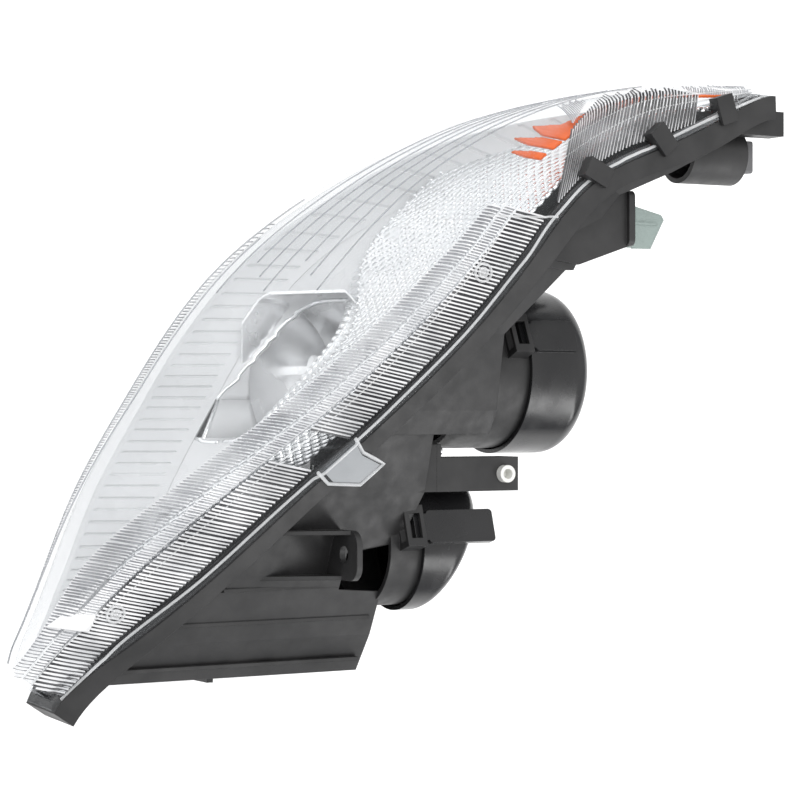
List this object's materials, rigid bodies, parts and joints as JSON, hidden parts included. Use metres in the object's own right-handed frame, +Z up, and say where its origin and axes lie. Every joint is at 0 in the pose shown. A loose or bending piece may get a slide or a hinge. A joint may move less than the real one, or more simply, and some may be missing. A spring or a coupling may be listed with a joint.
{
  "type": "car headlight",
  "caption": "Swept right-hand car headlight: clear ribbed lens, two-bowl aimable reflector, turn signal and side marker, black housing with hinged dust covers and bolt brackets.",
  "frame": {"origin": "centre of the bolt hole in the outer bracket", "axes": "-Y ahead along the beams, +X towards the middle of the car, +Z up"},
  "size_m": [0.3779, 0.4567, 0.2127],
  "materials": {
    "clear_lens": "clear glossy moulded plastic",
    "black_plastic": "fine-textured moulded black plastic",
    "cover_plastic": "smooth black plastic",
    "sealant": "cured sealing compound",
    "gasket_rubber": "soft black rubber",
    "reflector_chrome": "vacuum-metallised mirror finish",
    "trim_silver": "bright satin metallised trim",
    "amber_plastic": "clear amber moulded plastic",
    "bulb_glass": "clear quartz glass",
    "amber_glass": "amber bulb glass",
    "bulb_metal": "plated steel",
    "steel_pin": "plain steel",
    "spring_wire": "drawn wire",
    "white_nylon": "white nylon",
    "smoke_plastic": "grey-green translucent plastic",
    "grey_plastic": "grey plastic",
    "pin_brass": "tinned brass"
  },
  "bodies": {
    "housing": {"outer_lens": "clear_lens", "lens_seal": "sealant", "housing": "black_plastic", "bezel": "trim_silver", "turn_signal_reflector": "trim_silver", "side_reflex": "amber_plastic", "pivot_studs": "steel_pin", "low_cover_pin": "steel_pin", "high_cover_pin": "steel_pin", "adjuster_case": "black_plastic", "adjuster_case_screws": "steel_pin", "locator_blade": "smoke_plastic", "vent_cap": "gasket_rubber", "wiring_connector": "black_plastic", "connector_pins": "pin_brass"},
    "reflector": {"beam_reflector": "reflector_chrome", "low_beam_bulb": "bulb_glass", "low_beam_bulb_base": "bulb_metal", "low_beam_shield": "reflector_chrome", "high_beam_bulb": "bulb_glass", "high_beam_bulb_base": "bulb_metal", "high_beam_shield": "reflector_chrome"},
    "low_clip": {"low_beam_bulb_clip": "spring_wire"},
    "high_clip": {"high_beam_bulb_clip": "spring_wire"},
    "low_cover": {"low_beam_cover": "cover_plastic", "low_cover_gasket": "gasket_rubber"},
    "high_cover": {"high_beam_cover": "cover_plastic", "high_cover_gasket": "gasket_rubber"},
    "aim_rod": {"aim_rod": "steel_pin"},
    "aim_nut": {"aim_gear_nut": "white_nylon"},
    "aim_drive": {"aim_drive_gear": "white_nylon"},
    "turn_holder": {"turn_socket": "grey_plastic", "turn_bulb": "amber_glass"},
    "marker_holder": {"marker_socket": "grey_plastic", "marker_bulb": "bulb_glass"}
  },
  "joints": [
    {"name": "reflector_aim", "type": "hinge", "parent": "housing", "child": "reflector", "pos_m": [0.187, -0.178, -0.1], "axis": [1, 0, 0], "range_deg": [-2.5, 2.5]},
    {"name": "aim_rod_slide", "type": "slide", "parent": "housing", "child": "aim_rod", "axis": [0, -1, 0], "range_m": [-0.0023, 0.0023]},
    {"name": "aim_nut_turn", "type": "hinge", "parent": "housing", "child": "aim_nut", "pos_m": [0.148, -0.075, -0.048], "axis": [0, -1, 0], "range_deg": [-275, 275]},
    {"name": "aim_drive_turn", "type": "hinge", "parent": "housing", "child": "aim_drive", "pos_m": [0.148, -0.059, -0.04], "axis": [0, 0, 1], "range_deg": [-275, 275]},
    {"name": "low_cover_swing", "type": "hinge", "parent": "housing", "child": "low_cover", "pos_m": [0.086, -0.037, -0.1425], "axis": [1, 0, 0], "range_deg": [-95, 0]},
    {"name": "high_cover_swing", "type": "hinge", "parent": "housing", "child": "high_cover", "pos_m": [0.191, -0.111, -0.1235], "axis": [1, 0, 0], "range_deg": [-95, 0]},
    {"name": "low_clip_swing", "type": "hinge", "parent": "reflector", "child": "low_clip", "pos_m": [0.086, -0.1012, -0.107], "axis": [1, 0, 0], "range_deg": [-60, 0]},
    {"name": "high_clip_swing", "type": "hinge", "parent": "reflector", "child": "high_clip", "pos_m": [0.191, -0.1812, -0.099], "axis": [1, 0, 0], "range_deg": [-60, 0]},
    {"name": "turn_socket_twist", "type": "hinge", "parent": "housing", "child": "turn_holder", "pos_m": [0.006, -0.006, -0.066], "axis": [0, 1, 0], "range_deg": [0, 45]},
    {"name": "marker_socket_twist", "type": "hinge", "parent": "housing", "child": "marker_holder", "pos_m": [-0.046, 0.084, 0], "axis": [0, 1, 0], "range_deg": [0, 45]}
  ],
  "couplings": [
    {"joint": "aim_rod_slide", "follows": "reflector_aim", "m_per_rad": 0.052},
    {"joint": "aim_nut_turn", "follows": "reflector_aim", "ratio": 108.91},
    {"joint": "aim_drive_turn", "follows": "reflector_aim", "ratio": 108.91}
  ]
}
